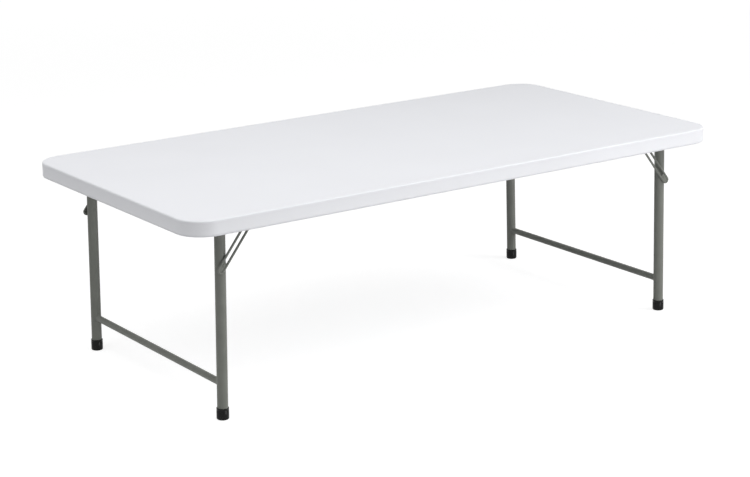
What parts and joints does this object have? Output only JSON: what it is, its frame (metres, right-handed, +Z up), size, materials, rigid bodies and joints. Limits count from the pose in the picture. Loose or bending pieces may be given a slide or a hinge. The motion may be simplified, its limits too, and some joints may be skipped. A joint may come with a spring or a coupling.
{
  "type": "folding kids table",
  "caption": "Low folding table for children: a hollow-moulded white plastic top on steel leg frames that fold flat under it, held open by rod braces.",
  "frame": {"origin": "on the floor under the middle of the table, legs open", "axes": "+X along the long side, +Y across to the back long side, +Z up"},
  "size_m": [1.524, 0.762, 0.483],
  "materials": {
    "white_hdpe": "satin, fine moulded grain",
    "powder_coated_steel": "satin powder coat",
    "zinc_steel": "zinc plated",
    "black_rubber": "satin",
    "black_plastic": "satin"
  },
  "bodies": {
    "top": {"table_top": "white_hdpe", "side_rail_front": "powder_coated_steel", "side_rail_back": "powder_coated_steel", "rail_screws": "zinc_steel", "strap_screws": "zinc_steel", "hinge_strap_fl": "powder_coated_steel", "hinge_strap_bl": "powder_coated_steel", "hinge_strap_fr": "powder_coated_steel", "hinge_strap_br": "powder_coated_steel"},
    "left_frame": {"hinge_tube_left": "powder_coated_steel", "tube_plugs_left": "black_plastic", "leg_tube_fl": "powder_coated_steel", "leg_tube_bl": "powder_coated_steel", "low_bar_left": "powder_coated_steel", "foot_cap_fl": "black_rubber", "foot_cap_bl": "black_rubber", "pivot_rivets_left": "powder_coated_steel"},
    "right_frame": {"hinge_tube_right": "powder_coated_steel", "tube_plugs_right": "black_plastic", "leg_tube_fr": "powder_coated_steel", "leg_tube_br": "powder_coated_steel", "low_bar_right": "powder_coated_steel", "foot_cap_fr": "black_rubber", "foot_cap_br": "black_rubber", "pivot_rivets_right": "powder_coated_steel"},
    "brace_fl": {"brace_rod_fl": "powder_coated_steel", "pivot_plate_fl": "powder_coated_steel", "guide_lug_fl": "powder_coated_steel", "guide_pin_fl": "zinc_steel"},
    "brace_bl": {"brace_rod_bl": "powder_coated_steel", "pivot_plate_bl": "powder_coated_steel", "guide_lug_bl": "powder_coated_steel", "guide_pin_bl": "zinc_steel"},
    "brace_fr": {"brace_rod_fr": "powder_coated_steel", "pivot_plate_fr": "powder_coated_steel", "guide_lug_fr": "powder_coated_steel", "guide_pin_fr": "zinc_steel"},
    "brace_br": {"brace_rod_br": "powder_coated_steel", "pivot_plate_br": "powder_coated_steel", "guide_lug_br": "powder_coated_steel", "guide_pin_br": "zinc_steel"}
  },
  "joints": [
    {"name": "left_frame_fold", "type": "hinge", "parent": "top", "child": "left_frame", "pos_m": [-0.647, 0, 0.4522], "axis": [0, -1, 0], "range_deg": [0, 90.8]},
    {"name": "right_frame_fold", "type": "hinge", "parent": "top", "child": "right_frame", "pos_m": [0.647, 0, 0.4522], "axis": [0, 1, 0], "range_deg": [0, 90.8]},
    {"name": "brace_fl_turn", "type": "hinge", "parent": "left_frame", "child": "brace_fl", "pos_m": [-0.64897, -0.3175, 0.35822], "axis": [0, 1, 0], "range_deg": [0, 142.55]},
    {"name": "brace_bl_turn", "type": "hinge", "parent": "left_frame", "child": "brace_bl", "pos_m": [-0.64897, 0.3175, 0.35822], "axis": [0, 1, 0], "range_deg": [0, 142.55]},
    {"name": "brace_fr_turn", "type": "hinge", "parent": "right_frame", "child": "brace_fr", "pos_m": [0.64897, -0.3175, 0.35822], "axis": [0, -1, 0], "range_deg": [0, 142.55]},
    {"name": "brace_br_turn", "type": "hinge", "parent": "right_frame", "child": "brace_br", "pos_m": [0.64897, 0.3175, 0.35822], "axis": [0, -1, 0], "range_deg": [0, 142.55]}
  ],
  "couplings": [
    {"joint": "brace_fl_turn", "follows": "left_frame_fold", "ratio": 1.5699},
    {"joint": "brace_bl_turn", "follows": "left_frame_fold", "ratio": 1.5699},
    {"joint": "brace_fr_turn", "follows": "right_frame_fold", "ratio": 1.5699},
    {"joint": "brace_br_turn", "follows": "right_frame_fold", "ratio": 1.5699}
  ]
}
